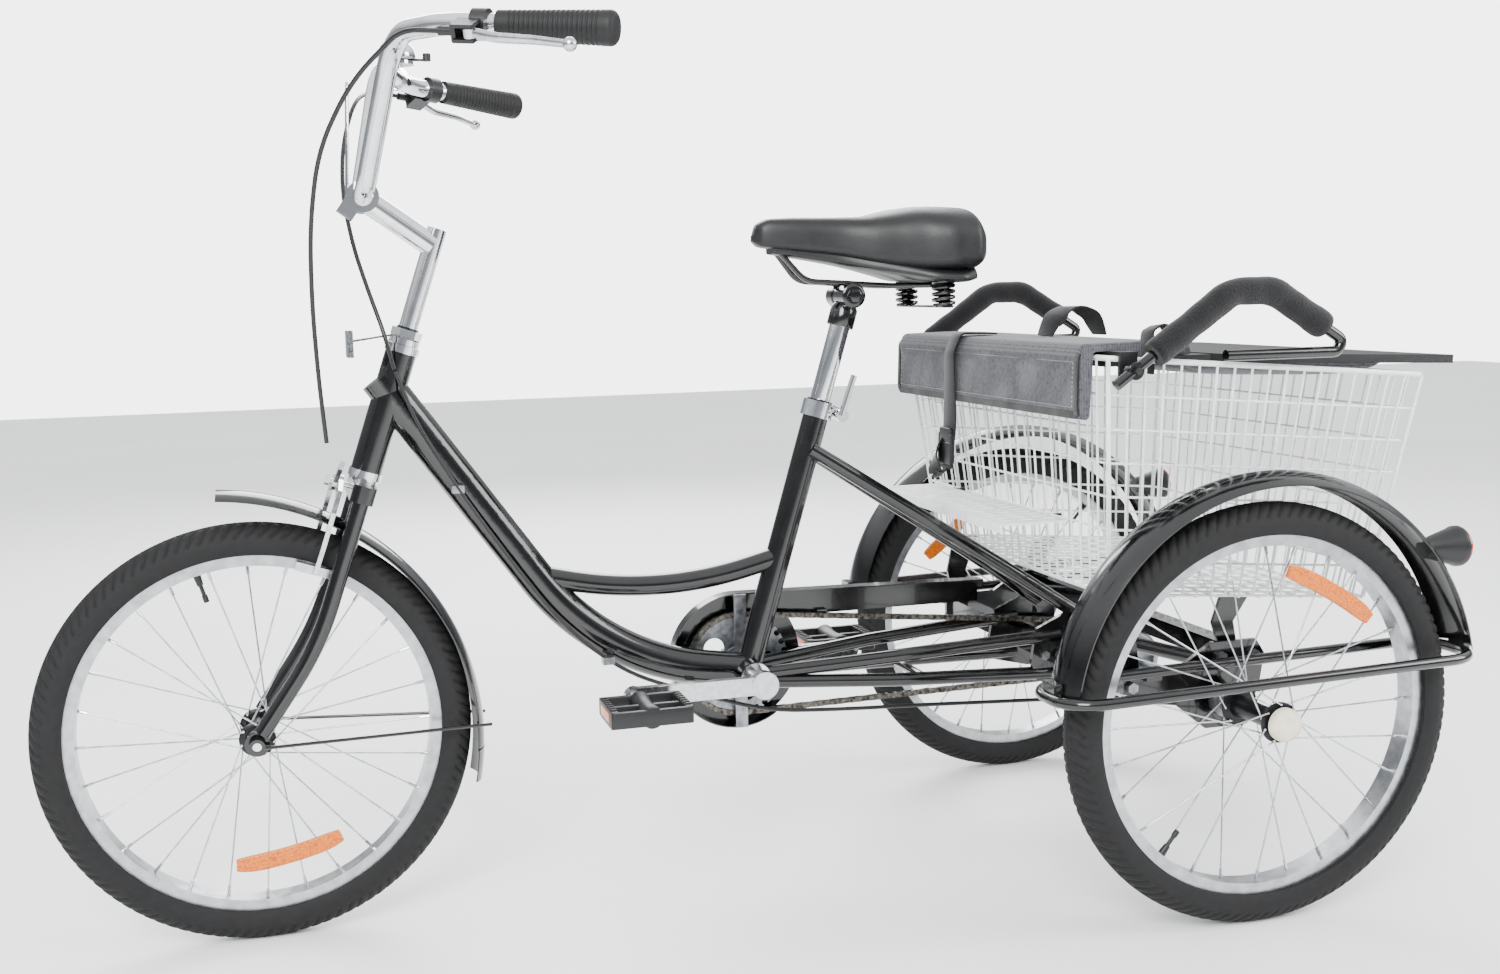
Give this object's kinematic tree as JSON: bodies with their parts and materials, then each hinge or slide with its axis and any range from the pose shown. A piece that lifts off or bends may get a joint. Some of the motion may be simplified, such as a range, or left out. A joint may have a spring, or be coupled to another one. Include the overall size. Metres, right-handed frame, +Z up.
{
  "type": "adult tricycle",
  "caption": "Step-through adult tricycle with high-rise bars, sprung saddle, mudguards and a rear wire basket that carries a folding passenger seat.",
  "frame": {"origin": "on the ground under the middle of the overall length, on the centre plane", "axes": "+X forward, +Y to the rider's left, +Z up"},
  "size_m": [1.6519, 0.762, 1.0637],
  "materials": {
    "frame_black": "gloss black enamel",
    "chrome": "bright chrome plate",
    "tyre_black": "moulded tread",
    "rim_silver": "satin alloy",
    "hub_black": "gloss black hub shell, bright spokes, cream end cap",
    "steel_dark": "zinc plated",
    "chain_steel": "oiled steel",
    "grip_rubber": "ribbed rubber",
    "plastic_black": "moulded",
    "saddle_vinyl": "stitched vinyl",
    "lens_red": "red lens on black housing",
    "reflector": "clear reflector in black housing",
    "basket_white": "white plastic-coated wire",
    "board_black": "grained board",
    "cloth_grey": "woven cloth with black binding",
    "webbing": "black webbing",
    "foam": "foam sleeve on black tube",
    "cable_black": "sheath",
    "alloy": "polished alloy"
  },
  "bodies": {
    "frame": {"front_frame": "frame_black", "rear_stays": "frame_black", "bearing_cups": "chrome", "seat_collar": "chrome", "rear_brake_cable": "cable_black", "chain": "chain_steel", "chain_guard": "frame_black", "guard_bracket": "steel_dark", "rear_carriage": "frame_black", "axle_bearings": "steel_dark", "band_brake": "steel_dark", "rear_mudguards": "frame_black", "guard_rails": "frame_black", "tail_lamps": "lens_red", "frame_bolts": "steel_dark", "basket_walls": "basket_white", "basket_floor": "basket_white", "basket_brackets": "frame_black", "seat_board": "board_black", "seat_pad": "cloth_grey", "seat_belts": "webbing"},
    "steering": {"fork": "frame_black", "fork_fittings": "chrome", "stem": "chrome", "handlebar": "chrome", "grips": "grip_rubber", "lever_brackets": "plastic_black", "bell": "chrome", "front_reflector": "reflector", "front_brake_cable": "cable_black", "rear_cable_upper": "cable_black", "front_mudguard": "frame_black"},
    "front_wheel": {"front_tyre": "tyre_black", "front_rim": "rim_silver", "front_hub": "hub_black"},
    "rear_axle": {"left_tyre": "tyre_black", "left_rim": "rim_silver", "left_hub": "hub_black", "rear_axle": "steel_dark"},
    "right_wheel": {"right_tyre": "tyre_black", "right_rim": "rim_silver", "right_hub": "hub_black"},
    "cranks": {"crank_arms": "chrome", "chainring": "steel_dark"},
    "pedal_left": {"pedal_left": "plastic_black"},
    "pedal_right": {"pedal_right": "plastic_black"},
    "brake_lever_left": {"brake_lever_left": "alloy"},
    "brake_lever_right": {"brake_lever_right": "alloy"},
    "brake_arm_left": {"brake_arm_left": "alloy"},
    "brake_arm_right": {"brake_arm_right": "alloy"},
    "saddle": {"seatpost": "chrome", "saddle": "saddle_vinyl"},
    "seat_quick_release": {"seat_quick_release": "chrome"},
    "backrest": {"backrest_board": "board_black", "backrest_pad": "cloth_grey"},
    "armrest_left": {"armrest_left": "foam"},
    "armrest_right": {"armrest_right": "foam"},
    "footrest": {"footrest": "basket_white"},
    "bell_lever": {"bell_lever": "plastic_black"},
    "rear_brake_arm": {"rear_brake_arm": "steel_dark"}
  },
  "joints": [
    {"name": "steering", "type": "hinge", "parent": "frame", "child": "steering", "pos_m": [0.44, 0, 0.546], "axis": [-0.3239, 0, 0.9461], "range_deg": [-55, 55], "deforming": ["rear_cable_upper"]},
    {"name": "front_wheel_spin", "type": "hinge", "parent": "steering", "child": "front_wheel", "pos_m": [0.579, 0, 0.247], "axis": [0, 1, 0], "continuous": true},
    {"name": "rear_axle_spin", "type": "hinge", "parent": "frame", "child": "rear_axle", "pos_m": [-0.534, 0, 0.247], "axis": [0, 1, 0], "continuous": true},
    {"name": "right_wheel_spin", "type": "hinge", "parent": "frame", "child": "right_wheel", "pos_m": [-0.534, -0.32, 0.247], "axis": [0, 1, 0], "continuous": true},
    {"name": "crank_spin", "type": "hinge", "parent": "frame", "child": "cranks", "pos_m": [-0.016, 0, 0.267], "axis": [0, 1, 0], "continuous": true},
    {"name": "pedal_left_spin", "type": "hinge", "parent": "cranks", "child": "pedal_left", "pos_m": [0.146, 0.1, 0.267], "axis": [0, 1, 0], "continuous": true},
    {"name": "pedal_right_spin", "type": "hinge", "parent": "cranks", "child": "pedal_right", "pos_m": [-0.178, -0.1, 0.267], "axis": [0, 1, 0], "continuous": true},
    {"name": "brake_lever_left", "type": "hinge", "parent": "steering", "child": "brake_lever_left", "pos_m": [0.33463, 0.27939, 0.99552], "axis": [0.1237, 0.3785, 0.9173], "range_deg": [0, 15], "stiffness_Nm_per_rad": 1.5, "springref_deg": -6.88},
    {"name": "brake_lever_right", "type": "hinge", "parent": "steering", "child": "brake_lever_right", "pos_m": [0.33463, -0.27939, 0.99552], "axis": [-0.1237, 0.3785, -0.9173], "range_deg": [0, 15], "stiffness_Nm_per_rad": 1.5, "springref_deg": -6.88},
    {"name": "caliper_left", "type": "hinge", "parent": "steering", "child": "brake_arm_left", "pos_m": [0.4681, 0, 0.53184], "axis": [-0.9461, 0, -0.3239], "range_deg": [0, 1]},
    {"name": "caliper_right", "type": "hinge", "parent": "steering", "child": "brake_arm_right", "pos_m": [0.4681, 0, 0.53184], "axis": [0.9461, 0, 0.3239], "range_deg": [0, 1]},
    {"name": "rear_brake_arm", "type": "hinge", "parent": "frame", "child": "rear_brake_arm", "pos_m": [-0.45, 0.03, 0.206], "axis": [0, 1, 0], "range_deg": [0, 10]},
    {"name": "seat_height", "type": "slide", "parent": "frame", "child": "saddle", "axis": [-0.2863, 0, 0.9581], "range_m": [-0.08, 0.045]},
    {"name": "seat_quick_release", "type": "hinge", "parent": "frame", "child": "seat_quick_release", "pos_m": [-0.13943, 0, 0.58577], "axis": [0, -1, 0], "range_deg": [0, 110]},
    {"name": "backrest_fold", "type": "hinge", "parent": "frame", "child": "backrest", "pos_m": [-0.504, 0, 0.653], "axis": [0, 1, 0], "range_deg": [0, 100]},
    {"name": "armrest_left_fold", "type": "hinge", "parent": "frame", "child": "armrest_left", "pos_m": [-0.374, 0.306, 0.646], "axis": [0, 1, 0], "range_deg": [0, 95]},
    {"name": "armrest_right_fold", "type": "hinge", "parent": "frame", "child": "armrest_right", "pos_m": [-0.374, -0.306, 0.646], "axis": [0, 1, 0], "range_deg": [0, 95]},
    {"name": "footrest_fold", "type": "hinge", "parent": "frame", "child": "footrest", "pos_m": [-0.362, 0, 0.462], "axis": [0, -1, 0], "range_deg": [0, 85], "deforming": ["seat_belts"]},
    {"name": "bell_lever", "type": "hinge", "parent": "steering", "child": "bell_lever", "pos_m": [0.36623, -0.19927, 1.03725], "axis": [0, 0, 1], "range_deg": [0, 25], "stiffness_Nm_per_rad": 0.05, "springref_deg": -5.73}
  ],
  "couplings": [
    {"joint": "crank_spin", "follows": "rear_axle_spin", "ratio": 0.5625},
    {"joint": "caliper_left", "follows": "brake_lever_left", "ratio": 0.066667},
    {"joint": "caliper_right", "follows": "brake_lever_left", "ratio": 0.066667},
    {"joint": "rear_brake_arm", "follows": "brake_lever_right", "ratio": 0.66667}
  ]
}
